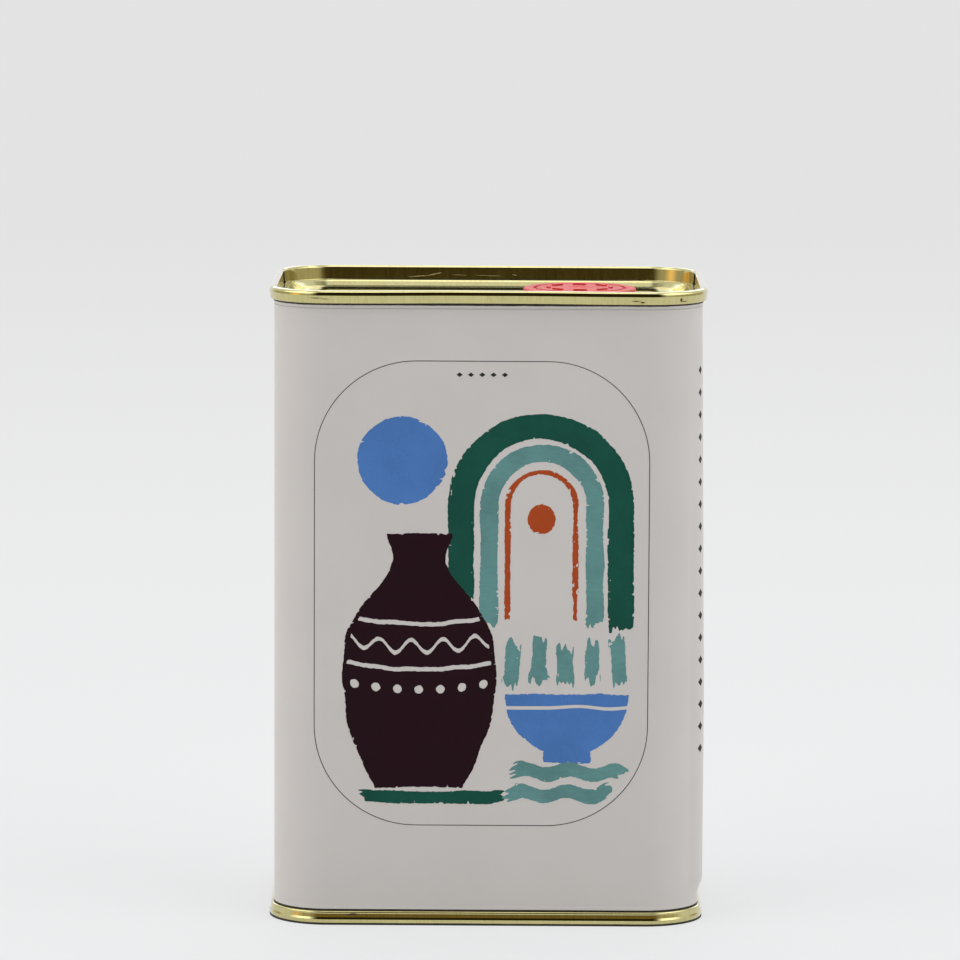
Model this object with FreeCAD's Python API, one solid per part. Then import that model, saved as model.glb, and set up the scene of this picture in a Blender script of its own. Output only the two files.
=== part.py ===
"""A shut 500 ml olive oil tin: a rounded rectangular body with a double-seamed end
above and below and a red press-in cap in the upper end. Millimetres, +Z up.
The origin is the middle of the footprint, on the plane that the lower seam rests on."""

import FreeCAD
import Part

import math
import os

# Over the seams
WIDTH = 85.8
DEPTH = 55.6
HEIGHT = 125.0
CORNER_RADIUS = 11.8

# Double seam, which rolls the edge of each end over the edge of the body
SEAM_THICKNESS = 1.4
SEAM_OVERHANG = 1.05
TOP_SEAM_HEIGHT = 2.8
BOTTOM_SEAM_HEIGHT = 3.0
CREST_OUTER_RADIUS = 0.9
CREST_INNER_RADIUS = 0.4
NOSE_DROP = 1.1
NOSE_RADIUS = 3.0
LIP_TAPER = 0.2
LIP_RADIUS = 0.3

# Sunk panel inside each seam
SHEET = 0.2
CHUCK_WALL_TAPER = 0.15
COUNTERSINK = 2.6
LEDGE_WIDTH = 1.6
STEP_DEPTH = 1.05
STEP_RUN = 1.5
FOOT_RADIUS = 0.35

# Cap, seated on the panel of the upper end
CAP_RADIUS = 11.2
CAP_X = 18.0
CAP_BELOW_CREST = 1.8
CAP_EDGE_RADIUS = 0.4
CAP_GROOVE_RADIUS = 8.9
CAP_GROOVE_WIDTH = 0.6
CAP_GROOVE_DEPTH = 0.4
RIB_COUNT = 8
RIB_RADIUS = 6.2
RIB_WIDTH = 0.9
RIB_HEIGHT = 0.3
RIB_SWEEP = 27.0


def rounded_outline(inset, z):
    """Closed wire at height z, the given distance inside the outer edge of the seams."""
    x = WIDTH / 2 - inset
    y = DEPTH / 2 - inset
    r = CORNER_RADIUS - inset
    corners = ((x - r, y - r, 0), (r - x, y - r, 90), (r - x, r - y, 180), (x - r, r - y, 270))
    arcs = []
    for cx, cy, start in corners:
        circle = Part.Circle(FreeCAD.Vector(cx, cy, z), FreeCAD.Vector(0, 0, 1), r)
        arcs.append(Part.Arc(circle, math.radians(start), math.radians(start + 90)).toShape())
    edges = []
    for arc, following in zip(arcs, arcs[1:] + arcs[:1]):
        edges.append(arc)
        edges.append(Part.makeLine(arc.Vertexes[-1].Point, following.Vertexes[0].Point))
    return Part.Wire(edges)


def rounded_prism(inset, low, high):
    """A block with that outline, from the height low to the height high."""
    face = Part.Face(rounded_outline(inset, low))
    return face.extrude(FreeCAD.Vector(0, 0, high - low))


def section_point(inset, z):
    """A point in the plane X = 0, the given distance behind the front of the seams."""
    return FreeCAD.Vector(0, inset - DEPTH / 2, z)


def corner_arc(start, end, corner):
    """A circular arc from start to end, tangent to the two lines that meet at corner."""
    to_start = (start - corner).normalize()
    to_end = (end - corner).normalize()
    half = to_start.getAngle(to_end) / 2
    reach = (start - corner).Length
    middle = (to_start + to_end).normalize()
    radius = reach * math.tan(half)
    centre = corner + middle * (reach / math.cos(half))
    return Part.Arc(start, centre - middle * radius, end).toShape()


def rounded_section(points):
    """A closed wire through points of (inset, height, corner radius)."""
    places = [section_point(inset, z) for inset, z, _ in points]
    starts = []
    ends = []
    for i, (_, _, radius) in enumerate(points):
        before = (places[i - 1] - places[i]).normalize()
        after = (places[(i + 1) % len(points)] - places[i]).normalize()
        reach = radius / math.tan(before.getAngle(after) / 2)
        starts.append(places[i] + before * reach)
        ends.append(places[i] + after * reach)
    edges = []
    for i, (_, _, radius) in enumerate(points):
        if radius:
            edges.append(corner_arc(starts[i], ends[i], places[i]))
        edges.append(Part.makeLine(ends[i], starts[(i + 1) % len(points)]))
    return Part.Wire(edges)


def panel_height(crest, up):
    """Height of the panel's outer face. up is 1 for the upper end and -1 for the lower."""
    return crest - up * (COUNTERSINK + STEP_DEPTH)


def sweep_round(section):
    """The section carried round the tin: a straight run on each side and a turn at each corner."""
    face = Part.Face(section)
    flat_x = WIDTH / 2 - CORNER_RADIUS
    flat_y = DEPTH / 2 - CORNER_RADIUS
    front = face.extrude(FreeCAD.Vector(2 * flat_x, 0, 0))
    front.translate(FreeCAD.Vector(-flat_x, 0, 0))
    side = face.extrude(FreeCAD.Vector(2 * flat_y, 0, 0))
    side.translate(FreeCAD.Vector(-flat_y, (DEPTH - WIDTH) / 2, 0))
    turned = face.copy()
    turned.translate(FreeCAD.Vector(flat_x, 0, 0))
    corner = turned.revolve(FreeCAD.Vector(flat_x, -flat_y, 0), FreeCAD.Vector(0, 0, 1), 90)
    origin = FreeCAD.Vector(0, 0, 0)
    axis = FreeCAD.Vector(0, 0, 1)
    pieces = []
    for run, angle in ((front, 0), (side, 90), (front, 180), (side, 270)):
        piece = run.copy()
        piece.rotate(origin, axis, angle)
        pieces.append(piece)
    near_right = corner
    far_left = corner.copy()
    far_left.rotate(origin, axis, 180)
    far_right = corner.mirror(origin, FreeCAD.Vector(0, 1, 0))
    near_left = corner.mirror(origin, FreeCAD.Vector(1, 0, 0))
    pieces += [near_right, far_left, far_right, near_left]
    return pieces[0].multiFuse(pieces[1:]).removeSplitter()


def end_piece(crest, seam_height, up):
    """One end: seam, chuck wall, ledge, step and panel. crest is where its seam ends."""
    wall_foot = SEAM_THICKNESS + CHUCK_WALL_TAPER
    step_start = wall_foot + LEDGE_WIDTH
    step_end = step_start + STEP_RUN
    panel_edge = step_end + 2 * FOOT_RADIUS
    nose = crest - up * NOSE_DROP
    lip = crest - up * seam_height
    ledge = crest - up * COUNTERSINK
    panel = panel_height(crest, up)
    underside = panel - up * SHEET
    section = rounded_section([
        (LIP_TAPER, lip, LIP_RADIUS),
        (0, nose, NOSE_RADIUS),
        (0, crest, CREST_OUTER_RADIUS),
        (SEAM_THICKNESS, crest, CREST_INNER_RADIUS),
        (wall_foot, ledge, FOOT_RADIUS),
        (step_start, ledge, FOOT_RADIUS),
        (step_end, panel, FOOT_RADIUS),
        (panel_edge, panel, 0),
        (panel_edge, underside, 0),
        (SEAM_OVERHANG + SHEET, underside, 0),
        (SEAM_OVERHANG + SHEET, lip, 0),
    ])
    ring = sweep_round(section)
    plate = rounded_prism(panel_edge, min(panel, underside), max(panel, underside))
    return ring.fuse(plate).removeSplitter()


def body():
    """Sleeve and contents as one solid, recessed above and below for the plug of each end."""
    low = BOTTOM_SEAM_HEIGHT
    high = HEIGHT - TOP_SEAM_HEIGHT
    floor_above = panel_height(HEIGHT, 1) - SHEET
    floor_below = panel_height(0, -1) + SHEET
    plug = SEAM_OVERHANG + SHEET
    sleeve = rounded_prism(SEAM_OVERHANG, low, high)
    sleeve = sleeve.cut(rounded_prism(plug, floor_above, high))
    return sleeve.cut(rounded_prism(plug, low, floor_below))


def cap_ring(inner, outer, low, high):
    """A plain ring about the cap's axis."""
    axis_at = FreeCAD.Vector(CAP_X, 0, low)
    up = FreeCAD.Vector(0, 0, 1)
    solid = Part.makeCylinder(outer, high - low, axis_at, up)
    return solid.cut(Part.makeCylinder(inner, high - low, axis_at, up))


def cap():
    """Round cap with a groove near its edge and a broken ring of low ribs."""
    seat = panel_height(HEIGHT, 1)
    top = HEIGHT - CAP_BELOW_CREST
    disc = Part.makeCylinder(CAP_RADIUS, top - seat, FreeCAD.Vector(CAP_X, 0, seat))
    upper_rim = [e for e in disc.Edges if e.BoundBox.ZMin > top - CAP_EDGE_RADIUS]
    disc = disc.makeFillet(CAP_EDGE_RADIUS, upper_rim)
    half_groove = CAP_GROOVE_WIDTH / 2
    groove = cap_ring(
        CAP_GROOVE_RADIUS - half_groove, CAP_GROOVE_RADIUS + half_groove, top - CAP_GROOVE_DEPTH, top
    )
    disc = disc.cut(groove)
    for i in range(RIB_COUNT):
        disc = disc.fuse(rib(top, 360.0 * i / RIB_COUNT))
    return disc.removeSplitter()


def rib(top, angle):
    """One rib: a piece of a ring that stands on the cap, centred on the given angle."""
    inner = RIB_RADIUS - RIB_WIDTH / 2
    section = Part.makePolygon([
        FreeCAD.Vector(inner, 0, top),
        FreeCAD.Vector(inner + RIB_WIDTH, 0, top),
        FreeCAD.Vector(inner + RIB_WIDTH, 0, top + RIB_HEIGHT),
        FreeCAD.Vector(inner, 0, top + RIB_HEIGHT),
        FreeCAD.Vector(inner, 0, top),
    ])
    origin = FreeCAD.Vector(0, 0, 0)
    axis = FreeCAD.Vector(0, 0, 1)
    piece = Part.Face(section).revolve(origin, axis, RIB_SWEEP)
    piece.rotate(origin, axis, angle - RIB_SWEEP / 2)
    piece.translate(FreeCAD.Vector(CAP_X, 0, 0))
    return piece


os.makedirs("parts", exist_ok=True)
shapes = {
    "body": body(),
    "top_end": end_piece(HEIGHT, TOP_SEAM_HEIGHT, 1),
    "bottom_end": end_piece(0, BOTTOM_SEAM_HEIGHT, -1),
    "cap": cap(),
}
for node, shape in shapes.items():
    solids = len(shape.Solids)
    print(node, "solids", solids, "valid", shape.isValid(), "volume mm3", round(shape.Volume, 1))
    shape.exportStep(f"parts/{node}.step")
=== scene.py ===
"""Looks of the shut olive oil tin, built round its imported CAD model. Metres, +Z up, front at -Y."""

import math

import bpy
import numpy as np
from mathutils import Matrix, Vector, geometry, noise


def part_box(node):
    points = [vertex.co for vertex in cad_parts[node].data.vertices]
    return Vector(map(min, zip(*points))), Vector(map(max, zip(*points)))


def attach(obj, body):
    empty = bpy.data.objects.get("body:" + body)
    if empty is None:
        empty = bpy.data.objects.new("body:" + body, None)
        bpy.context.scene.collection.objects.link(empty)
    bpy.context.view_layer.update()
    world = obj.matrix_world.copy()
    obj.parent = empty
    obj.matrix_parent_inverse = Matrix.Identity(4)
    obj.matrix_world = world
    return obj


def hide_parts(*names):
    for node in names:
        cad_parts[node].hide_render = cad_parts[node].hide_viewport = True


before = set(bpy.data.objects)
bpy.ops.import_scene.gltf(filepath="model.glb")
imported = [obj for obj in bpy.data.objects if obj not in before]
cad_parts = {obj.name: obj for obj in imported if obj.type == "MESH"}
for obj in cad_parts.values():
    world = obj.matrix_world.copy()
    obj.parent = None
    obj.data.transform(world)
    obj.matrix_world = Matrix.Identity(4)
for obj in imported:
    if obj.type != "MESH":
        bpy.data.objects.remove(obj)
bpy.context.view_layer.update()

MM = 0.001

# Sizes of the frame, in millimetres
body_low, body_high = (np.array(corner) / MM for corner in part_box("body"))
top_high = np.array(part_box("top_end")[1]) / MM
cap_low, cap_high = (np.array(corner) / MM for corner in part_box("cap"))

HALF_X, HALF_Y, CREST = top_high
OVERHANG = HALF_X - body_high[0]
CORNER = 11.8
FLAT_X = HALF_X - CORNER
FLAT_Y = HALF_Y - CORNER

# The two ends. Their sections are points of inset from the outer face, drop from the crest, corner radius
SEAM_THICKNESS = 1.4
SHEET = 0.2
JOINT_GAP = 0.02
PANEL_DROP = CREST - cap_low[2] + 0.28
TOP_LIP = 2.46
BOTTOM_LIP = 2.70
TOP_FACE = ((0.15, TOP_LIP, 0.14), (0.0, 0.95, 0.5), (0.15, 0.0, 0.70))
BOTTOM_FACE = ((0.33, BOTTOM_LIP, 0.32), (0.29, 2.20, 0.3), (0.20, 1.50, 0.08),
               (0.05, 1.08, 0.12), (0.17, 0.45, 0.5), (0.19, 0.0, 0.3))
INSIDE = ((1.24, 0.0, 0.35), (1.56, 0.38, 0.30), (1.80, 2.77, 0.06), (3.05, 2.77, 0.12),
          (3.40, 3.07, 0.3), (4.62, PANEL_DROP, 0.9), (11.2, PANEL_DROP, 0))
PANEL_RINGS = (0.05, 0.2, 0.4, 0.6, 0.8)

# How far the near crest of the upper seam sags, the distances from its middle over which the sag grows,
# and the inset by which it has died away
SAG = 0.12
SAG_GROWS = (6.0, 26.0)
SAG_ENDS = 2.5

# Painted shade on real joints under and over the lips, a painted contact shadow at the floor, shade at the
# inner wall's foot
TOP_JOINT_DROP = 2.97
JOINT_COVERED = 0.1
BOTTOM_JOINT_RISE = 0.25
CONTACT_SHADOW_RISE = 0.40
WALL_FOOT_SHADE_DROP = 2.69
WALL_FOOT_SHADE_WIDTH = 0.17

# The sleeve: its flare under each lip, the painted shade of a crease below the upper one, and how far the
# right side bows out
FLARE = 0.14
FLARE_RUN = 0.8
CREASE_SHADE = (121.32, 121.62)
BOW = 1.0
BOW_TOP = 121.0
BOW_RUN = 77.0
BOW_FOOT = (4.6, 8.2)

# The cap: its groove, its shallow dish and its ring of ribs
GROOVE = (8.6, 9.2)
GROOVE_DEPTH = 0.4
GROOVE_LEAN = 0.05
DISH = (2.6, 3.4)
DISH_DEPTH = 0.25
RIBS = 8
RIB_RISE = 0.3
RIB_RADIUS = 6.2
RIB_HALF_WIDTH = 0.45
RIB_HALF_SWEEP = math.radians(13.5)

# Print: how deep each ink is set into the sleeve, and the outline round the picture
INK_BURIED = 0.006
OUTLINE_CENTRE = (-1.08, 65.54)
OUTLINE_HALF = (32.6, 45.7)
OUTLINE_RADIUS = 19.8
OUTLINE_WIDTH = 0.16

# Ornaments: a column up the right-hand corner and a short row over the picture, by their lozenges' places
COLUMN = [(FLAT_X + 13.4, 109.0 - 4.4 * k, 0.85, 0.85) for k in range(18)]
ROW = [(-1.1 + 2.2 * (k - 2), 108.6, 0.62, 0.45) for k in range(5)]

# The jar in the picture: its middle, its foot, and its half widths at heights above the foot
JAR_MIDDLE = -13.2
JAR_FOOT = 27.3
JAR = ((0, 8.2), (3, 10.2), (12, 13.9), (22, 15.2), (30, 14.4), (36, 11.4), (40.5, 7.4), (43.5, 5.3),
       (46.5, 4.8), (48.3, 6.3), (50.2, 6.6))

# Painted shade of dents on both seams, as distance along the sleeve, height, and half sizes; wear: scratches
# on the inner wall as x and z of both ends, and width
TOP_DENT_SHADES = ((-33.2, 123.45, 1.3, 0.09), (-31.6, 123.30, 0.8, 0.07), (28.6, 123.15, 0.9, 0.10),
             (29.9, 122.90, 0.5, 0.16), (37.2, 123.30, 0.25, 0.42), (37.9, 122.95, 0.6, 0.10))
BOTTOM_DENT_SHADES = ((-26.4, 2.05, 1.3, 0.16), (-25.9, 2.20, 0.9, 0.12),
                (29.2, 0.95, 1.2, 0.11), (28.6, 1.05, 0.6, 0.12))
SCRATCHES = ((-16.5, 122.70, -12.0, 123.06, 0.16), (-12.6, 123.00, -9.6, 123.62, 0.24),
             (-3.0, 123.10, 2.6, 122.95, 0.10), (4.6, 123.3, 5.6, 123.1, 0.14),
             (-33.2, 123.5, -32.0, 123.1, 0.14), (-7.6, 123.2, -4.6, 123.1, 0.08))
WALL_Y = HALF_Y - 1.58
WALL_LEAN = 0.10
WALL_TOP_DROP = 0.38

# Camera, measured from the middle of the footprint
CAMERA_DISTANCE = 1130.8
CAMERA_HEIGHT = 229.8
CAMERA_PITCH = math.radians(7.317)
CAMERA_YAW = math.radians(-0.080)
CAMERA_ROLL = math.radians(0.271)
TIN_TURN = math.radians(0.195)
LENS = 214.74
SENSOR = 36.0

# Colours as linear RGB
PAPER = (0.596, 0.578, 0.568)
GOLD = (0.575, 0.530, 0.225)
# Dark brown of the lip joints with their painted shade, of the painted contact shadow and of the wall foot's
# painted shade
JOINT_AND_SHADE_BROWN = (0.014, 0.010, 0.002)
CAP_RED = (0.600, 0.046, 0.042)
TEAL = (0.112, 0.262, 0.262)
BLUE = (0.069, 0.187, 0.487)
GREEN = (0.006, 0.074, 0.052)
ORANGE = (0.380, 0.060, 0.012)
AUBERGINE = (0.015, 0.002, 0.006)
LINE_GREY = (0.024, 0.022, 0.021)
FLOOR_NEAR = (0.785, 0.785, 0.785)
FLOOR_FAR = (0.683, 0.683, 0.683)
FLOOR_SEEN_NEAR = (0.815, 0.822, 0.832)
FLOOR_SEEN_FAR = (0.745, 0.745, 0.745)
FLOOR_SEEN_SHARE = 0.72
FLOOR_FADE = (-0.1, 1.7)
SCRATCH = (0.850, 0.780, 0.520)
# Painted shade of the dents on both seams
DENT_SHADE = (0.085, 0.066, 0.030)
# Painted shade of the crease under the upper lip
CREASE_SHADE_GREY = (0.436, 0.420, 0.410)

# The studio seen from the tin, each zone laid over the last: colour, then the range of angles from the
# front, then of angles above the floor, in degrees, and whether it lies on both sides or only on the left
STUDIO = (0.86, 0.86, 0.86)
ZONES = (
    ((1.00, 1.00, 1.02), (-20, 200), (70, 110), "both"),
    ((1.90, 1.90, 1.95), (-20, 200), (79, 110), "both"),
    ((1.90, 1.90, 1.95), (-20, 40), (64, 110), "both"),
    ((1.60, 1.60, 1.64), (156, 200), (38, 60), "both"),
    ((2.70, 2.70, 2.80), (156, 200), (18, 41), "both"),
    ((0.04, 0.035, 0.02), (146, 200), (58, 71), "both"),
    ((2.15, 2.15, 2.15), (34, 100), (20, 64), "both"),
    ((0.52, 0.47, 0.34), (-20, 130), (-20, 12), "both"),
    ((1.40, 0.86, 0.40), (58, 76), (0, 16), "left"),
    ((0.026, 0.019, 0.004), (-20, 31), (4, 63), "both"),
    ((0.200, 0.140, 0.045), (-20, 29), (-20, 5), "both"),
)
TURN_EDGE = 21.0
RISE_EDGE = 5.0

# ---------------------------------------------------------------- shapes

def smooth_step(value, low, high):
    """0 below low, 1 above high, and an S-shaped rise between."""
    t = np.clip((np.asarray(value, float) - low) / (high - low), 0, 1)
    return t * t * (3 - 2 * t)


def rounded(points, steps=8):
    """An open line through points of (a, b, radius), with each corner as an arc."""
    places = [np.array(point[:2], float) for point in points]
    line = [places[0]]
    for i in range(1, len(points) - 1):
        radius = points[i][2]
        before = places[i - 1] - places[i]
        after = places[i + 1] - places[i]
        before = before / np.linalg.norm(before)
        after = after / np.linalg.norm(after)
        angle = math.acos(float(np.clip(before @ after, -1, 1)))
        reach = radius / math.tan(angle / 2)
        middle = (before + after) / np.linalg.norm(before + after)
        centre = places[i] + middle * (radius / math.sin(angle / 2))
        first = places[i] + before * reach - centre
        last = places[i] + after * reach - centre
        sweep = math.pi - angle
        line.append(places[i] + before * (reach + 0.1 * radius))
        for k in range(steps + 1):
            t = k / steps
            mix = (math.sin((1 - t) * sweep) * first + math.sin(t * sweep) * last) / math.sin(sweep)
            line.append(centre + mix)
        line.append(places[i] + after * (reach + 0.1 * radius))
    line.append(places[-1])
    return np.array(line)


def stations(long_steps=150, short_steps=60, corner_steps=28):
    """Stations round the tin, anticlockwise from above: centre of curvature and outward way."""
    found = []
    corners = ((FLAT_X, -FLAT_Y, -90), (FLAT_X, FLAT_Y, 0), (-FLAT_X, FLAT_Y, 90), (-FLAT_X, -FLAT_Y, 180))
    for i, (x, y, start) in enumerate(corners):
        for k in range(corner_steps):
            angle = math.radians(start + 90 * k / corner_steps)
            found.append((x, y, math.cos(angle), math.sin(angle)))
        next_x, next_y, _ = corners[(i + 1) % 4]
        steps = long_steps if next_y == y else short_steps
        angle = math.radians(start + 90)
        for k in range(steps):
            t = k / steps
            place = (x + (next_x - x) * t, y + (next_y - y) * t)
            found.append((*place, math.cos(angle), math.sin(angle)))
    return np.array(found)


def round_the_tin(insets, heights, ring):
    """Points (stations, section, 3) of a section given as insets and heights."""
    reach = CORNER - np.asarray(insets, float)
    if reach.ndim == 1:
        reach = np.broadcast_to(reach, (len(ring), len(reach)))
    height = np.broadcast_to(np.asarray(heights, float), reach.shape)
    x = ring[:, 0:1] + ring[:, 2:3] * reach
    y = ring[:, 1:2] + ring[:, 3:4] * reach
    return np.stack([x, y, height], axis=-1)


def mesh_piece(name, points, faces, material, smooth=True):
    """A mesh piece from points in millimetres, riding on the tin."""
    mesh = bpy.data.meshes.new(name)
    mesh.from_pydata((np.asarray(points).reshape(-1, 3) * MM).tolist(), [], faces)
    mesh.polygons.foreach_set("use_smooth", [smooth] * len(mesh.polygons))
    mesh.materials.append(material)
    piece = bpy.data.objects.new(name, mesh)
    bpy.context.collection.objects.link(piece)
    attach(piece, "root")
    return piece


def skin(rows, columns, closed_rows=True, flip=False):
    """Quads over a grid of rows times columns of points; the rows close round unless told otherwise."""
    faces = []
    last = rows if closed_rows else rows - 1
    for i in range(last):
        a = i * columns
        b = ((i + 1) % rows) * columns
        for j in range(columns - 1):
            face = (a + j, b + j, b + j + 1, a + j + 1)
            faces.append(face[::-1] if flip else face)
    return faces


def closed_skin(rows, columns):
    """Quads over a closed tube of points, closed both ways."""
    return skin(rows, columns) + [(i * columns + columns - 1, (i + 1) % rows * columns + columns - 1,
                                   (i + 1) % rows * columns, i * columns) for i in range(rows)]


def bridge(outer, inner, flip):
    """Quads between two closed rings of point numbers."""
    faces = []
    for i in range(len(outer)):
        j = (i + 1) % len(outer)
        face = (outer[i], outer[j], inner[j], inner[i])
        faces.append(face[::-1] if flip else face)
    return faces


def fan(ring, centre, flip=False):
    """Triangles from a closed ring of point numbers to a centre."""
    pairs = zip(ring, ring[1:] + ring[:1])
    return [(b, centre, a) if flip else (a, centre, b) for a, b in pairs]


# ---------------------------------------------------------------- materials

def nodes_of(name):
    """A new material, its node tree and its Principled shader."""
    material = bpy.data.materials.new(name)
    material.use_nodes = True
    tree = material.node_tree
    return material, tree, tree.nodes["Principled BSDF"]


def add(tree, kind, inputs=None, **settings):
    """A node of that kind, with its settings and unlinked inputs."""
    node = tree.nodes.new(kind)
    for key, value in settings.items():
        setattr(node, key, value)
    for key, value in (inputs or {}).items():
        node.inputs[key].default_value = value
    return node


def link(tree, source, target):
    """Join two sockets."""
    tree.links.new(source, target)


def own_place(tree, scale=(1, 1, 1)):
    """The object's own coordinates in millimetres, stretched by scale."""
    place = add(tree, "ShaderNodeTexCoord")
    mapping = add(tree, "ShaderNodeMapping")
    mapping.inputs["Scale"].default_value = [s / MM for s in scale]
    link(tree, place.outputs["Object"], mapping.inputs["Vector"])
    return mapping.outputs["Vector"]


def noise_at(tree, place, scale, detail=3.0, roughness=0.55):
    """Noise at a place, with scale in features a millimetre."""
    node = add(tree, "ShaderNodeTexNoise", {"Scale": scale, "Detail": detail, "Roughness": roughness})
    link(tree, place, node.inputs["Vector"])
    return node.outputs["Fac"]


def ramp(tree, value, low, high, to_low=0.0, to_high=1.0):
    """A smooth change from to_low to to_high as the value goes from low to high."""
    node = add(tree, "ShaderNodeMapRange", interpolation_type="SMOOTHSTEP")
    for key, number in (("From Min", low), ("From Max", high), ("To Min", to_low), ("To Max", to_high)):
        node.inputs[key].default_value = number
    link(tree, value, node.inputs["Value"])
    return node.outputs["Result"]


def maths(tree, operation, *values):
    """A Math node over numbers or sockets."""
    node = add(tree, "ShaderNodeMath", operation=operation)
    for socket, value in zip(node.inputs, values):
        if isinstance(value, (int, float)):
            socket.default_value = value
        else:
            link(tree, value, socket)
    return node.outputs[0]


def blend_colours(tree, factor, a, b):
    """Colour a where the factor is 0 and b where it is 1; each a tuple or a socket."""
    node = add(tree, "ShaderNodeMix", data_type="RGBA")
    link(tree, factor, node.inputs["Factor"])
    sockets = [socket for socket in node.inputs if socket.type == "RGBA"]
    for socket, value in zip(sockets, (a, b)):
        if isinstance(value, tuple):
            socket.default_value = (*value, 1)
        else:
            link(tree, value, socket)
    return [socket for socket in node.outputs if socket.type == "RGBA"][0]


def bump(tree, shader, height, distance, strength=1.0):
    """Relief in the shader's normal, with its distance in millimetres."""
    node = add(tree, "ShaderNodeBump", {"Strength": strength, "Distance": distance * MM})
    link(tree, height, node.inputs["Height"])
    link(tree, node.outputs["Normal"], shader.inputs["Normal"])


def shade(colour, factor):
    """The colour, lighter or darker."""
    return tuple(c * factor for c in colour)


def make_paper():
    """Satin off-white print on tinplate, with faint mottling."""
    material, tree, shader = nodes_of("print")
    place = own_place(tree)
    mottle = ramp(tree, noise_at(tree, place, 0.05, 4.0), 0.3, 0.7)
    colour = blend_colours(tree, mottle, shade(PAPER, 0.985), shade(PAPER, 1.015))
    speck = ramp(tree, noise_at(tree, place, 1.3, 4.0, 0.7), 0.70, 0.78)
    colour = blend_colours(tree, maths(tree, "MULTIPLY", speck, 0.25), colour, shade(PAPER, 0.75))
    link(tree, colour, shader.inputs["Base Color"])
    link(tree, ramp(tree, noise_at(tree, place, 0.4), 0.3, 0.7, 0.38, 0.48), shader.inputs["Roughness"])
    shader.inputs["Specular IOR Level"].default_value = 0.4
    bump(tree, shader, noise_at(tree, place, 2.5, 2.0), 0.004, 0.5)
    return material


def make_ink(name, colour, variation=0.10, grain=(1.0, 1.0, 1.0)):
    """A painted colour with soft patches of tone and fine brush grain."""
    material, tree, shader = nodes_of(name)
    patches = ramp(tree, noise_at(tree, own_place(tree), 0.13, 3.0), 0.3, 0.7)
    brush = ramp(tree, noise_at(tree, own_place(tree, grain), 1.6, 5.0, 0.7), 0.3, 0.7)
    tone = maths(tree, "MULTIPLY_ADD", brush, 0.4, maths(tree, "MULTIPLY", patches, 0.6))
    ink = blend_colours(tree, tone, shade(colour, 1 - variation), shade(colour, 1 + variation))
    link(tree, ink, shader.inputs["Base Color"])
    link(tree, ramp(tree, brush, 0, 1, 0.44, 0.58), shader.inputs["Roughness"])
    shader.inputs["Specular IOR Level"].default_value = 0.12
    bump(tree, shader, brush, 0.006, 0.5)
    return material


def make_gold():
    """Gold lacquer on tinplate: fine upright drawing lines and soft tone changes."""
    material, tree, shader = nodes_of("gold")
    shader.inputs["Metallic"].default_value = 1.0
    shader.inputs["Coat Weight"].default_value = 1.0
    shader.inputs["Coat Roughness"].default_value = 0.06
    place = own_place(tree)
    tone = ramp(tree, noise_at(tree, place, 0.2, 4.0), 0.3, 0.7)
    colour = blend_colours(tree, tone, shade(GOLD, 0.95), shade(GOLD, 1.04))
    lines = noise_at(tree, own_place(tree, (1.0, 1.0, 0.04)), 1.7, 4.0, 0.75)
    dark = ramp(tree, lines, 0.50, 0.34)
    colour = blend_colours(tree, maths(tree, "MULTIPLY", dark, 0.30), colour, (0.40, 0.27, 0.08))
    pale = ramp(tree, lines, 0.56, 0.70)
    colour = blend_colours(tree, maths(tree, "MULTIPLY", pale, 0.25), colour, (0.78, 0.68, 0.42))
    link(tree, colour, shader.inputs["Base Color"])
    link(tree, ramp(tree, lines, 0.35, 0.75, 0.05, 0.11), shader.inputs["Roughness"])
    bump(tree, shader, lines, 0.004, 0.4)
    return material


def make_joint_and_shade_brown():
    """Dark brown for the joints under the lips, with painted shade, for the painted contact shadow and the
    wall foot's shade.
    """
    material, tree, shader = nodes_of("joint_and_shade_brown")
    tone = ramp(tree, noise_at(tree, own_place(tree), 0.7, 3.0), 0.3, 0.7)
    colour = blend_colours(tree, tone, shade(JOINT_AND_SHADE_BROWN, 0.5), shade(JOINT_AND_SHADE_BROWN, 1.6))
    link(tree, colour, shader.inputs["Base Color"])
    shader.inputs["Roughness"].default_value = 0.6
    return material


def make_red():
    """Moulded red plastic, slightly milky, with a satin surface."""
    material, tree, shader = nodes_of("cap_red")
    place = own_place(tree)
    tone = ramp(tree, noise_at(tree, place, 0.5, 3.0), 0.3, 0.7)
    colour = blend_colours(tree, tone, shade(CAP_RED, 0.92), shade(CAP_RED, 1.06))
    link(tree, colour, shader.inputs["Base Color"])
    link(tree, ramp(tree, noise_at(tree, place, 2.0), 0.3, 0.7, 0.26, 0.40), shader.inputs["Roughness"])
    shader.inputs["Specular IOR Level"].default_value = 0.08
    bump(tree, shader, noise_at(tree, place, 3.0, 3.0), 0.010, 0.5)
    return material


# ---------------------------------------------------------------- tin

def end_section(up):
    """Outer face of an end from under its lip, over the crest, down to the panel's edge."""
    face = TOP_FACE if up > 0 else BOTTOM_FACE
    return rounded([(OVERHANG + SHEET + JOINT_GAP, face[0][1], 0), *face, *INSIDE])


def waviness(ring, section):
    """Small errors of a rolled seam: the whole seam wanders, the wall and panel don't."""
    share = 1 - smooth_step(section[:, 0], 0.5, SEAM_THICKNESS)
    wave = []
    for x, y, dx, dy in ring:
        spot = Vector((x + dx * CORNER, y + dy * CORNER, 0))
        wave.append(0.018 + 0.03 * noise.noise(spot * 0.08) + 0.008 * noise.noise(spot * 0.5))
    return np.clip(np.array(wave), 0, 1)[:, None] * share


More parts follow.
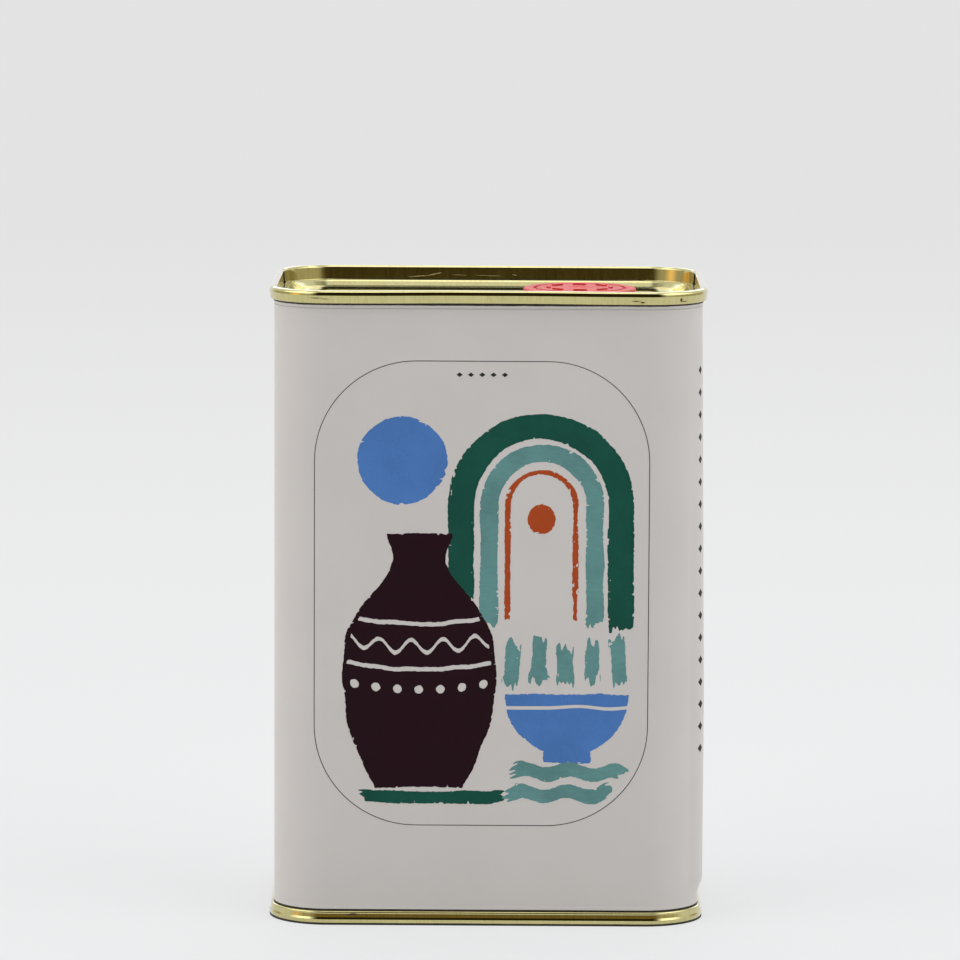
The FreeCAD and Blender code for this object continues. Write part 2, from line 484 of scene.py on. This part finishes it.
def make_end(name, node, crest, up, material):
    """An end: swept section, panel closed at its centre, and flat underside."""
    section = end_section(up)
    ring = stations()
    insets = section[:, 0] + waviness(ring, section)
    heights = np.broadcast_to(crest - up * section[:, 1], insets.shape)
    if up > 0:
        off_middle = smooth_step(np.abs(ring[:, 0] + ring[:, 2] * CORNER), *SAG_GROWS)
        near = smooth_step(-ring[:, 1], 5.0, FLAT_Y) * smooth_step(-ring[:, 3], 0.0, 0.8)
        share = 1 - smooth_step(section[:, 0], SEAM_THICKNESS, SAG_ENDS)
        heights = heights - SAG * (off_middle * near)[:, None] * share
    outer = round_the_tin(insets, heights, ring)
    rows, columns = outer.shape[:2]
    points = [outer.reshape(-1, 3)]
    faces = skin(rows, columns, flip=up < 0)
    edge = outer[:, -1]
    centre = np.array([0, 0, crest - up * PANEL_DROP])
    count = rows * columns
    before = [i * columns + columns - 1 for i in range(rows)]
    for t in PANEL_RINGS:
        points.append(edge + (centre - edge) * t)
        now = [count + i for i in range(rows)]
        faces += bridge(before, now, up < 0)
        count += rows
        before = now
    points.append(centre[None])
    faces += fan(before, count, flip=up > 0)
    count += 1
    underside = crest - up * (PANEL_DROP + SHEET)
    points.append(round_the_tin([OVERHANG + SHEET + JOINT_GAP], underside, ring)[:, 0])
    first = [i * columns for i in range(rows)]
    now = [count + i for i in range(rows)]
    faces += bridge(now, first, up < 0)
    count += rows
    points.append(np.array([[0, 0, underside]]))
    faces += fan(now, count, flip=up < 0)
    piece = mesh_piece(name, np.concatenate(points), faces, material)
    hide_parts(node)


def make_ring(name, low, high, inset, material, wander=(0.0, 0.0)):
    """A thin closed ring round the tin; its lower and upper edges wander by these amounts."""
    ring = stations(240, 100, 36)
    section = np.array([(inset + 0.3, low), (inset, low), (inset - 0.02, (low + high) / 2), (inset, high),
                        (inset + 0.3, high)])
    grid = round_the_tin(section[:, 0], section[:, 1], ring)
    for i, (x, y, dx, dy) in enumerate(ring):
        spot = Vector((x + dx * CORNER, y + dy * CORNER, 7))
        uneven = noise.noise(spot * 0.45) + 0.8 * noise.noise(spot * 1.7)
        grid[i, :2, 2] += wander[0] * uneven
        grid[i, 3:, 2] += wander[1] * uneven
    mesh_piece(name, grid, closed_skin(*grid.shape[:2]), material)


def bow(way_x, height):
    """How far the sleeve bows out on its right-hand side, more lower down, held in by the lower seam."""
    side = smooth_step(way_x, 0.80, 1.0)
    down = np.clip((BOW_TOP - height) / BOW_RUN, 0, 1) * smooth_step(height, *BOW_FOOT)
    return BOW * side * down


def place_on_sleeve(along, height, lift, behind=False):
    """Points on the sleeve at a distance along it from the middle of the front (or back)."""
    along, height = np.asarray(along, float), np.asarray(height, float)
    radius = CORNER - OVERHANG
    angle = np.clip((np.abs(along) - FLAT_X) / radius, 0, math.pi / 2)
    turn = -1 if behind else 1
    way_x = turn * np.sign(along) * np.sin(angle)
    way_y = -turn * np.cos(angle)
    middle_x = turn * np.sign(along) * np.minimum(np.abs(along), FLAT_X)
    middle_y = np.full_like(middle_x, -turn * FLAT_Y)
    reach = radius + lift + bow(way_x, height)
    return np.stack([middle_x + way_x * reach, middle_y + way_y * reach, height], axis=-1)


def make_sleeve(material):
    """The printed sleeve, flared a little under each lip, closed above and below inside the ends."""
    low = body_low[2] + JOINT_GAP
    high = body_high[2] - JOINT_GAP
    inner = OVERHANG + SHEET - 0.01
    foot = rounded([(inner, low, 0), (OVERHANG - FLARE, low, 0.05), (OVERHANG, low + FLARE_RUN, 1.2),
                    (OVERHANG, low + 1.5, 0)])
    levels = np.sort(np.concatenate([np.linspace(low + 1.8, high - 1.8, 60),
                                     np.linspace(low + 1.9, low + 6.5, 12)]))
    run = np.stack([np.full(len(levels), OVERHANG), levels], axis=-1)
    head = foot[::-1] * (1, -1) + (0, low + high)
    wall = np.concatenate([foot, run, head])
    ring = stations(24, 24, 32)
    insets = wall[None, :, 0] - bow(ring[:, 2:3], wall[None, :, 1])
    sides = round_the_tin(insets, wall[:, 1], ring)
    rows, columns = sides.shape[:2]
    floor_low = PANEL_DROP + SHEET + JOINT_GAP
    floor_high = CREST - floor_low
    lower = round_the_tin([inner], floor_low, ring)[:, 0]
    upper = round_the_tin([inner], floor_high, ring)[:, 0]
    count = rows * columns
    lower_ring = [count + i for i in range(rows)]
    upper_ring = [count + rows + i for i in range(rows)]
    first = [i * columns for i in range(rows)]
    last = [i * columns + columns - 1 for i in range(rows)]
    faces = skin(rows, columns)
    faces += bridge(lower_ring, first, False) + bridge(last, upper_ring, False)
    middle = count + 2 * rows
    faces += fan(lower_ring, middle) + fan(upper_ring, middle + 1, flip=True)
    centres = np.array([[0, 0, floor_low], [0, 0, floor_high]])
    points = np.concatenate([sides.reshape(-1, 3), lower, upper, centres])
    piece = mesh_piece("sleeve", points, faces, material)
    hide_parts("body")


def turned(profile, steps=128):
    """A profile of (radius, height) turned about the cap's axis."""
    middle = (cap_low + cap_high) / 2
    angles = np.arange(steps) * 2 * math.pi / steps
    grid = np.zeros((steps, len(profile), 3))
    grid[..., 0] = middle[0] + np.cos(angles)[:, None] * profile[:, 0]
    grid[..., 1] = middle[1] + np.sin(angles)[:, None] * profile[:, 0]
    grid[..., 2] = profile[:, 1]
    return grid


def make_cap(material):
    """Red cap: rounded rim, groove, and a broken ring of ribs round a shallow dish."""
    seat = CREST - PANEL_DROP
    rib_top = cap_high[2]
    top = rib_top - RIB_RISE
    radius = (cap_high[0] - cap_low[0]) / 2
    groove_low, groove_high = GROOVE
    profile = rounded([
        (0.001, seat, 0),
        (radius - 0.15, seat, 0.1),
        (radius, seat + 0.3, 0.2),
        (radius, top, 0.45),
        (groove_high + GROOVE_LEAN, top, 0.1),
        (groove_high - GROOVE_LEAN, top - GROOVE_DEPTH, 0.1),
        (groove_low + GROOVE_LEAN, top - GROOVE_DEPTH, 0.1),
        (groove_low - GROOVE_LEAN, top, 0.1),
        (DISH[1], top, 0.6),
        (DISH[0], top - DISH_DEPTH, 0.6),
        (0.001, top - DISH_DEPTH, 0),
    ], steps=5)
    grid = turned(profile)
    rows, columns = grid.shape[:2]
    points = [grid.reshape(-1, 3)]
    faces = skin(rows, columns)
    count = rows * columns
    for i in range(RIBS):
        rib_points, rib_faces = cap_rib(2 * math.pi * i / RIBS, top, rib_top)
        points.append(rib_points)
        faces += [tuple(count + k for k in face) for face in rib_faces]
        count += len(rib_points)
    piece = mesh_piece("red_cap", np.concatenate(points), faces, material)
    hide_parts("cap")


def cap_rib(angle, low, high):
    """One rib of the cap: a rounded bar bent to a ring, its ends drawn in."""
    middle = (cap_low + cap_high) / 2
    buried = low - 0.05
    half = RIB_HALF_WIDTH
    steps = 16
    section = rounded([(-half, buried, 0), (0.03 - half, high, 0.14),
                       (half - 0.03, high, 0.14), (half, buried, 0)], steps=4)
    points = []
    for k in range(steps + 1):
        t = 2 * k / steps - 1
        pinch = max(math.sqrt(max(1 - abs(t) ** 8, 0.0)), 0.02)
        turn = angle + RIB_HALF_SWEEP * t
        for across, height in section:
            reach = RIB_RADIUS + across * pinch
            z = buried + (height - buried) * pinch
            points.append((middle[0] + reach * math.cos(turn), middle[1] + reach * math.sin(turn), z))
    columns = len(section)
    faces = skin(steps + 1, columns, closed_rows=False)
    faces += [(i * columns, i * columns + columns - 1, (i + 1) * columns + columns - 1, (i + 1) * columns)
              for i in range(steps)]
    faces.append(tuple(range(columns)))
    faces.append(tuple(steps * columns + k for k in reversed(range(columns))))
    return np.array(points), faces


# ---------------------------------------------------------------- print

def grain(x, z, size, seed):
    """Smooth noise from -1 to 1 with features of the given width and height in millimetres."""
    table = np.random.default_rng(seed).uniform(-1, 1, (64, 64))
    u, v = x / size[0] + 4096, z / size[1] + 4096
    i, j = np.floor(u).astype(int), np.floor(v).astype(int)
    s, t = smooth_step(u - i, 0, 1), smooth_step(v - j, 0, 1)
    i, j, k, m = i % 64, j % 64, (i + 1) % 64, (j + 1) % 64
    near = table[i, j] * (1 - s) + table[k, j] * s
    far = table[i, m] * (1 - s) + table[k, m] * s
    return near * (1 - t) + far * t


def painted(x, z, inside, seed, wobble=0.22):
    """A brushed shape from its distance inside the edge: slow wobble, rough edge and pinholes beside it."""
    edge = inside + wobble * grain(x, z, (4.5, 4.5), seed) + 0.10 * grain(x, z, (0.45, 0.45), seed + 1)
    pinholes = 0.62 + 0.5 * inside - grain(x, z, (0.5, 0.45), seed + 2)
    return np.minimum(edge, pinholes)


def stroke(x, z, start, end, half, seed, dry=0.9):
    """One brush stroke between two points, with dry, streaky tips."""
    run = math.dist(start, end)
    way = ((end[0] - start[0]) / run, (end[1] - start[1]) / run)
    along = (x - start[0]) * way[0] + (z - start[1]) * way[1]
    across = (z - start[1]) * way[0] - (x - start[0]) * way[1]
    past = np.maximum(np.abs(along - run / 2) - (run / 2 - half), 0)
    inside = half - np.hypot(across, past * 0.8)
    tip = smooth_step(np.abs(along - run / 2), run / 2 - 3.0, run / 2)
    bristles = grain(across, along * 0.12, (0.38, 1.0), seed + 5)
    return painted(x, z, inside + dry * tip * bristles, seed)


def wave(x, z, start, end, half, rise, length, seed):
    """A long stroke that goes up and down."""
    shift = rise * np.sin(2 * math.pi * (x - start[0]) / length)
    return stroke(x, z - shift, start, end, half, seed)


def arch(x, z, centre, radius, half, foot, seed):
    """A half ring on two straight legs, which end dry at the height foot."""
    reach = np.where(z > centre[1], np.hypot(x - centre[0], z - centre[1]), np.abs(x - centre[0]))
    inside = half - np.abs(reach - radius)
    bristles = grain(x, z * 0.12, (0.38, 1.0), seed + 5)
    return painted(x, z, np.minimum(inside, z - foot + 0.9 * bristles), seed)


def disc(x, z, centre, radius, seed):
    """A round spot."""
    return painted(x, z, radius - np.hypot(x - centre[0], z - centre[1]), seed)


def bowl(x, z, centre, radius, seed):
    """Half a disc below its rim, on a small foot, with one bare line under the rim."""
    inside = np.minimum(radius - np.hypot(x - centre[0], z - centre[1]), centre[1] - z)
    foot = np.minimum(radius * 0.38 - np.abs(x - centre[0]), 1.1 - np.abs(z - centre[1] + radius + 0.3))
    line = np.abs(z - centre[1] + 2.7 + 0.3 * grain(x, z, (6, 6), seed + 9)) - 0.33
    return np.minimum(painted(x, z, np.maximum(inside, foot), seed), line)


def jar_inside(x, z):
    """How far inside the round-shouldered jar each place is."""
    heights, widths = np.array(JAR).T
    shifts = np.linspace(-1.6, 1.6, 9)
    half = np.mean([np.interp(z - JAR_FOOT + shift, heights, widths) for shift in shifts], axis=0)
    return np.minimum(half - np.abs(x - JAR_MIDDLE), np.minimum(z - JAR_FOOT, JAR_FOOT + heights[-1] - z))


def dark_shapes(x, z):
    """The jar, with bare lines and dots across it."""
    middle, low, seed = JAR_MIDDLE, JAR_FOOT, 61
    inside = jar_inside(x, z)
    body = painted(x, z, inside, seed)
    sag = 1.6 * (1 - ((x - middle) / 15.0) ** 2)
    level = z - low + sag
    wobble = 0.18 * grain(x, z, (3, 3), seed + 7)
    band = np.abs(level - 34.0 + wobble) - 0.42
    ripple = np.abs(level - 29.5 + 1.25 * np.sin(2 * math.pi * (x - middle) / 6.2) + wobble) - 0.42
    lower_band = np.abs(level - 25.0 + wobble) - 0.42
    spot_x = np.mod(x - middle + 2.1, 4.2) - 2.1
    spots = np.hypot(spot_x, level - 21.0) - 0.85
    marks = np.minimum(np.minimum(band, ripple), np.minimum(lower_band, spots))
    marks = np.where(inside > 0.9, marks, np.abs(marks))
    return np.minimum(body, marks + 0.08 * grain(x, z, (0.5, 0.5), seed + 8))


def edges_of(field, low, step):
    """The line where a gridded field is zero: its points and its segments."""
    positive = field > 0
    numbers = {}
    points = []

    def crossing(a, b):
        """The number of the point between two corners of the grid where the field is zero."""
        key = (a, b)
        if key not in numbers:
            t = field[a] / (field[a] - field[b])
            t = min(max(t, 0.02), 0.98)
            numbers[key] = len(points)
            points.append(tuple(low[k] + (a[k] + (b[k] - a[k]) * t) * step for k in range(2)))
        return numbers[key]

    corners = positive[:-1, :-1].astype(int) + positive[1:, :-1] + positive[1:, 1:] + positive[:-1, 1:]
    segments = []
    for i, j in zip(*np.nonzero((corners > 0) & (corners < 4))):
        i, j = int(i), int(j)
        around = ((i, j), (i + 1, j), (i + 1, j + 1), (i, j + 1))
        cut = []
        for a, b in zip(around, around[1:] + around[:1]):
            if positive[a] != positive[b]:
                cut.append(crossing(*sorted((a, b))))
        if len(cut) == 4 and positive[around[0]] == (sum(field[c] for c in around) > 0):
            cut = cut[1:] + cut[:1]
        segments += [tuple(cut[k:k + 2]) for k in range(0, len(cut), 2)]
    return points, segments


def print_piece(name, low, high, shape, lift, material, step=0.2):
    """A thin closed layer of ink on the sleeve wherever the field shape(x, z) is positive."""
    columns = int((high[0] - low[0]) / step) + 1
    rows = int((high[1] - low[1]) / step) + 1
    x = (low[0] + step * np.arange(columns))[:, None] + np.zeros((1, rows))
    z = (low[1] + step * np.arange(rows))[None, :] + np.zeros((columns, 1))
    field = shape(x, z)
    for side in (field[0], field[-1], field[:, 0], field[:, -1]):
        side[:] = -1.0
    points, segments = edges_of(field, low, step)
    flat, _, triangles, *_ = geometry.delaunay_2d_cdt([Vector(p) for p in points], segments, [], 0, 1e-6)
    flat = np.array([tuple(p) for p in flat])
    triangles = np.array(triangles)
    middles = flat[triangles].mean(axis=1)
    u = (middles - low) / step
    i, j = np.floor(u).astype(int).T
    s, t = (u - np.floor(u)).T
    value = ((field[i, j] * (1 - s) + field[i + 1, j] * s) * (1 - t)
             + (field[i, j + 1] * (1 - s) + field[i + 1, j + 1] * s) * t)
    kept = triangles[value > 0]
    used = np.unique(kept)
    number = np.full(len(flat), -1)
    number[used] = np.arange(len(used))
    kept, flat = number[kept], flat[used]
    over = place_on_sleeve(flat[:, 0], flat[:, 1], lift)
    under = place_on_sleeve(flat[:, 0], flat[:, 1], -INK_BURIED)
    count = len(flat)
    a, b, c = flat[kept[:, 0]], flat[kept[:, 1]], flat[kept[:, 2]]
    turn = (b[:, 0] - a[:, 0]) * (c[:, 1] - a[:, 1]) - (b[:, 1] - a[:, 1]) * (c[:, 0] - a[:, 0])
    kept[turn < 0] = kept[turn < 0][:, ::-1]
    directed = np.concatenate([kept[:, [0, 1]], kept[:, [1, 2]], kept[:, [2, 0]]])
    pairs = {(int(p), int(q)) for p, q in directed}
    rim = [(p, q) for p, q in pairs if (q, p) not in pairs]
    faces = [tuple(face) for face in kept.tolist()]
    faces += [tuple(face) for face in (kept[:, ::-1] + count).tolist()]
    faces += [(q, p, p + count, q + count) for p, q in sorted(rim)]
    mesh_piece(name, np.concatenate([over, under]), faces, material, smooth=False)


def most(*fields):
    """The union of shapes."""
    return np.maximum.reduce(fields)


def green_shapes(x, z):
    """The outer arch, kept off the jar, and the ground under the jar."""
    hoop = np.minimum(arch(x, z, (10.5, 83.0), 15.6, 2.5, 58.5, 11), 0.35 - jar_inside(x, z))
    return most(hoop, stroke(x, z, (-24.6, 25.6), (3.3, 25.2), 1.3, 15))


def teal_shapes(x, z):
    """The middle arch, a row of dabs over the bowl, and two waves under it."""
    dabs = [stroke(x, z, (4.8 + 5.3 * k, 47.9 + 0.5 * (k % 2)), (5.2 + 5.1 * k, 55.4 + 0.7 * ((k + 1) % 3)),
                   1.45, 30 + 7 * k) for k in range(5)]
    waves = [wave(x, z, (5.2 - 0.6 * k, 30.6 - 4.3 * k), (26.9 - 2.6 * k, 30.4 - 4.3 * k),
                  1.5, 0.55, 9.0, 80 + 9 * k) for k in range(2)]
    return most(arch(x, z, (10.7, 83.0), 10.3, 1.75, 59.5, 21), *dabs, *waves)


def orange_shapes(x, z):
    """The inner arch and the spot under it."""
    return most(arch(x, z, (10.6, 83.0), 6.6, 0.52, 60.5, 41), disc(x, z, (10.6, 80.5), 2.9, 44))


def blue_shapes(x, z):
    """The disc and the bowl."""
    return most(disc(x, z, (-16.6, 91.8), 8.7, 51), bowl(x, z, (15.7, 46.0), 12.3, 55))


def outline_points(steps=22):
    """Points round the printed outline, as distance along the sleeve and height."""
    cx, cz = OUTLINE_CENTRE
    wide, tall = OUTLINE_HALF[0] - OUTLINE_RADIUS, OUTLINE_HALF[1] - OUTLINE_RADIUS
    points = []
    for i, (sx, sz) in enumerate(((1, 1), (-1, 1), (-1, -1), (1, -1))):
        for k in range(steps):
            angle = math.pi / 2 * (i + k / steps)
            points.append((cx + sx * wide + OUTLINE_RADIUS * math.cos(angle),
                           cz + sz * tall + OUTLINE_RADIUS * math.sin(angle)))
        nx, nz = ((-1, 1), (-1, -1), (1, -1), (1, 1))[i]
        angle = math.pi / 2 * (i + 1)
        across, up = OUTLINE_RADIUS * math.cos(angle), OUTLINE_RADIUS * math.sin(angle)
        for k in range(steps):
            t = k / steps
            points.append((cx + across + (sx + (nx - sx) * t) * wide, cz + up + (sz + (nz - sz) * t) * tall))
    return np.array(points)


def ribbon(name, line, width, lift, material, behind=False):
    """A thin closed band along a closed line on the sleeve."""
    ahead = np.roll(line, -1, axis=0) - np.roll(line, 1, axis=0)
    ahead /= np.linalg.norm(ahead, axis=1)[:, None]
    across = np.stack([ahead[:, 1], -ahead[:, 0]], axis=-1) * (width / 2)
    rows = [(line - across, -INK_BURIED), (line + across, -INK_BURIED),
            (line + across, lift), (line - across, lift)]
    grid = np.stack([place_on_sleeve(p[:, 0], p[:, 1], h, behind) for p, h in rows], axis=1)
    mesh_piece(name, grid, closed_skin(*grid.shape[:2]), material, smooth=False)


def lozenges(name, marks, lift, buried, material):
    """Small closed diamonds on the tin's side, each given as distance along, height, and half sizes."""
    points, faces = [], []
    steps = 8
    for along, height, wide, tall in marks:
        u = np.linspace(-1, 1, steps + 1)
        half = np.maximum(1 - np.abs(u), 0.04) * tall
        top = np.stack([along + u * wide, height + half], axis=-1)
        foot = np.stack([along + u * wide, height - half], axis=-1)
        start = len(points) * 4 * (steps + 1)
        rows = [(foot, -buried), (foot, lift), (top, lift), (top, -buried)]
        grid = np.stack([place_on_sleeve(p[:, 0], p[:, 1], h) for p, h in rows], axis=1)
        points.append(grid.reshape(-1, 3))
        for k in range(steps):
            a, b = start + 4 * k, start + 4 * k + 4
            faces += [(a + j, b + j, b + (j + 1) % 4, a + (j + 1) % 4) for j in range(4)]
        faces.append(tuple(start + j for j in range(4)))
        faces.append(tuple(start + 4 * steps + 3 - j for j in range(4)))
    mesh_piece(name, np.concatenate(points), faces, material, smooth=False)


def make_print():
    """The generic picture on the front, its outline, and two small ornaments."""
    teal = make_ink("ink_teal", TEAL, 0.16, (0.3, 1.0, 1.0))
    blue = make_ink("ink_blue", BLUE, 0.10)
    green = make_ink("ink_green", GREEN, 0.14)
    orange = make_ink("ink_orange", ORANGE, 0.10)
    dark = make_ink("ink_aubergine", AUBERGINE, 0.14)
    grey = make_ink("ink_line", LINE_GREY, 0.10)
    print_piece("print_green", (-30, 22), (30, 104), green_shapes, 0.010, green)
    print_piece("print_teal", (-8, 22), (30, 104), teal_shapes, 0.014, teal)
    print_piece("print_orange", (1, 58), (20, 92), orange_shapes, 0.012, orange)
    print_piece("print_blue", (-28, 30), (30, 104), blue_shapes, 0.012, blue)
    print_piece("print_aubergine", (-30, 25), (4, 80), dark_shapes, 0.018, dark)
    ribbon("print_outline", outline_points(), OUTLINE_WIDTH, 0.010, grey)
    mirrored = outline_points() * (-1, 1)
    ribbon("print_outline_back", mirrored[::-1], OUTLINE_WIDTH, 0.010, grey, behind=True)
    lozenges("print_column", COLUMN, 0.010, INK_BURIED, grey)
    lozenges("print_row", ROW, 0.010, INK_BURIED, grey)


def make_scratches_and_shade(joint_and_shade):
    """Dark marks of painted shade where both seams are dented, scratches on the inner wall, and painted shade
    at its foot.
    """
    brown = make_ink("dent_shade_brown", DENT_SHADE, 0.4)
    # Dents on both seams, drawn as dark marks of painted shade
    lozenges("top_dent_shades", TOP_DENT_SHADES, OVERHANG - 0.01, -0.9, brown)
    lozenges("bottom_dent_shades", BOTTOM_DENT_SHADES, OVERHANG - 0.13, -0.6, brown)
    material, tree, shader = nodes_of("scratch")
    shader.inputs["Metallic"].default_value = 1.0
    tone = ramp(tree, noise_at(tree, own_place(tree), 1.0), 0.3, 0.7)
    link(tree, blend_colours(tree, tone, shade(SCRATCH, 0.8), SCRATCH), shader.inputs["Base Color"])
    shader.inputs["Roughness"].default_value = 0.45
    for i, (start_x, start_z, end_x, end_z, width) in enumerate(SCRATCHES):
        bar(f"scratch_{i + 1}", (start_x, start_z), (end_x, end_z), width, material)
    # Painted shade: a dark line along the foot of the far inner wall
    foot = CREST - WALL_FOOT_SHADE_DROP
    bar("wall_foot_shade", (-FLAT_X - 2, foot), (FLAT_X + 2, foot), WALL_FOOT_SHADE_WIDTH, joint_and_shade)


def bar(name, start, end, width, material):
    """A thin tapered sliver lying on the far inner wall, from one (x, z) to another."""
    steps = 10
    points = []
    for k in range(steps + 1):
        t = k / steps
        half = width / 2 * max(math.sin(math.pi * t) ** 0.5, 0.08)
        x, z = (a + (b - a) * t for a, b in zip(start, end))
        y = WALL_Y - WALL_LEAN * (CREST - WALL_TOP_DROP - z)
        points += [(x, y, z - half), (x, y, z + half), (x, y + 0.12, z + half), (x, y + 0.12, z - half)]
    faces = skin(steps + 1, 4, closed_rows=False)
    faces += [(4 * k + 3, 4 * k + 7, 4 * k + 4, 4 * k) for k in range(steps)]
    faces += [(0, 1, 2, 3), tuple(4 * steps + 3 - j for j in range(4))]
    mesh_piece(name, points, faces, material, smooth=False)


# ---------------------------------------------------------------- stage

def make_floor():
    """A plain pale floor that darkens a little with distance behind the tin."""
    size = 9.0
    mesh = bpy.data.meshes.new("floor")
    corners = ((-size, -size, 0), (size, -size, 0), (size, size, 0), (-size, size, 0))
    mesh.from_pydata(corners, [], [(0, 1, 2, 3)])
    floor = bpy.data.objects.new("floor", mesh)
    bpy.context.collection.objects.link(floor)
    material, tree, shader = nodes_of("floor")
    place = add(tree, "ShaderNodeTexCoord")
    split = add(tree, "ShaderNodeSeparateXYZ")
    link(tree, place.outputs["Object"], split.inputs[0])
    away = ramp(tree, split.outputs["Y"], FLOOR_FADE[0], FLOOR_FADE[1])
    link(tree, blend_colours(tree, away, FLOOR_NEAR, FLOOR_FAR), shader.inputs["Base Color"])
    seen = add(tree, "ShaderNodeEmission")
    link(tree, blend_colours(tree, away, FLOOR_SEEN_NEAR, FLOOR_SEEN_FAR), seen.inputs["Color"])
    path = add(tree, "ShaderNodeLightPath")
    rays = maths(tree, "MAXIMUM", path.outputs["Is Camera Ray"], path.outputs["Is Glossy Ray"])
    rays = maths(tree, "MAXIMUM", rays, path.outputs["Is Transmission Ray"])
    mix = add(tree, "ShaderNodeMixShader")
    link(tree, maths(tree, "MULTIPLY", rays, FLOOR_SEEN_SHARE), mix.inputs[0])
    link(tree, shader.outputs[0], mix.inputs[1])
    link(tree, seen.outputs[0], mix.inputs[2])
    link(tree, mix.outputs[0], tree.nodes["Material Output"].inputs["Surface"])
    shader.inputs["Roughness"].default_value = 1.0
    shader.inputs["Specular IOR Level"].default_value = 0.0
    mesh.materials.append(material)


def make_world():
    """A pale studio of soft zones, dim and warm behind the camera."""
    world = bpy.data.worlds.new("studio")
    bpy.context.scene.world = world
    world.use_nodes = True
    tree = world.node_tree
    place = add(tree, "ShaderNodeTexCoord")
    split = add(tree, "ShaderNodeSeparateXYZ")
    link(tree, place.outputs["Generated"], split.inputs[0])
    x, y, z = (split.outputs[k] for k in range(3))
    turn = maths(tree, "ARCTAN2", maths(tree, "ABSOLUTE", x), maths(tree, "MULTIPLY", y, -1.0))
    rise = maths(tree, "ARCSINE", z)

    def within(angle, span, softness):
        """1 inside the span of degrees, falling to 0 over the softness at each end."""
        low, high = (math.radians(limit) for limit in span)
        edge = math.radians(softness) / 2
        return maths(tree, "MULTIPLY", ramp(tree, angle, low - edge, low + edge),
                     ramp(tree, angle, high - edge, high + edge, 1.0, 0.0))

    colour = STUDIO
    for zone_colour, turn_span, rise_span, side in ZONES:
        mask = maths(tree, "MULTIPLY", within(turn, turn_span, TURN_EDGE), within(rise, rise_span, RISE_EDGE))
        if side == "left":
            mask = maths(tree, "MULTIPLY", mask, maths(tree, "LESS_THAN", x, 0.0))
        colour = blend_colours(tree, mask, colour, zone_colour)
    link(tree, colour, tree.nodes["Background"].inputs["Color"])


def make_camera():
    """The camera of the measured view, turned with the tin's small turn."""
    yaw, pitch, roll, turn = CAMERA_YAW, CAMERA_PITCH, CAMERA_ROLL, TIN_TURN
    level = Vector((math.sin(yaw), math.cos(yaw), 0))
    right = Vector((math.cos(yaw), -math.sin(yaw), 0))
    ahead = level * math.cos(pitch) - Vector((0, 0, math.sin(pitch)))
    above = level * math.sin(pitch) + Vector((0, 0, math.cos(pitch)))
    side = right * math.cos(roll) + above * math.sin(roll)
    above = above * math.cos(roll) - right * math.sin(roll)
    axes = Matrix((side, above, -ahead)).transposed()
    spin = Matrix.Rotation(turn, 3, "Z")
    place = spin @ Vector((0, -CAMERA_DISTANCE * MM, CAMERA_HEIGHT * MM))
    data = bpy.data.cameras.new("camera")
    data.lens = LENS
    data.sensor_width = SENSOR
    camera = bpy.data.objects.new("camera", data)
    camera.matrix_world = Matrix.Translation(place) @ (spin @ axes).to_4x4()
    bpy.context.collection.objects.link(camera)
    bpy.context.scene.camera = camera


gold = make_gold()
joint_and_shade = make_joint_and_shade_brown()
make_sleeve(make_paper())
make_end("top_end_gold", "top_end", CREST, 1, gold)
make_end("bottom_end_gold", "bottom_end", 0.0, -1, gold)
# Dark rings at the joints under and over the lips: real joints, darkened with painted shade
make_ring("top_joint_and_shade", CREST - TOP_JOINT_DROP, CREST - TOP_LIP + JOINT_COVERED, OVERHANG - 0.17, joint_and_shade,
          (0.05, 0.0))
make_ring("bottom_joint_and_shade", BOTTOM_LIP - JOINT_COVERED, BOTTOM_LIP + BOTTOM_JOINT_RISE, OVERHANG - 0.15, joint_and_shade,
          (0.0, 0.04))
# Painted contact shadow: a dark ring round the foot of the lower seam, where it meets the floor
make_ring("bottom_contact_shadow", 0.0, CONTACT_SHADOW_RISE, 0.14, joint_and_shade, (0.0, 0.02))
make_scratches_and_shade(joint_and_shade)
# Painted shade: a thin grey ring where the sleeve creases under the upper lip
make_ring("upper_crease_shade", *CREASE_SHADE, OVERHANG - 0.01, make_ink("crease_shade_grey", CREASE_SHADE_GREY, 0.05), (0.03, 0.03))
make_cap(make_red())
make_print()

make_floor()
make_world()
make_camera()
bpy.context.scene.view_settings.view_transform = "Standard"
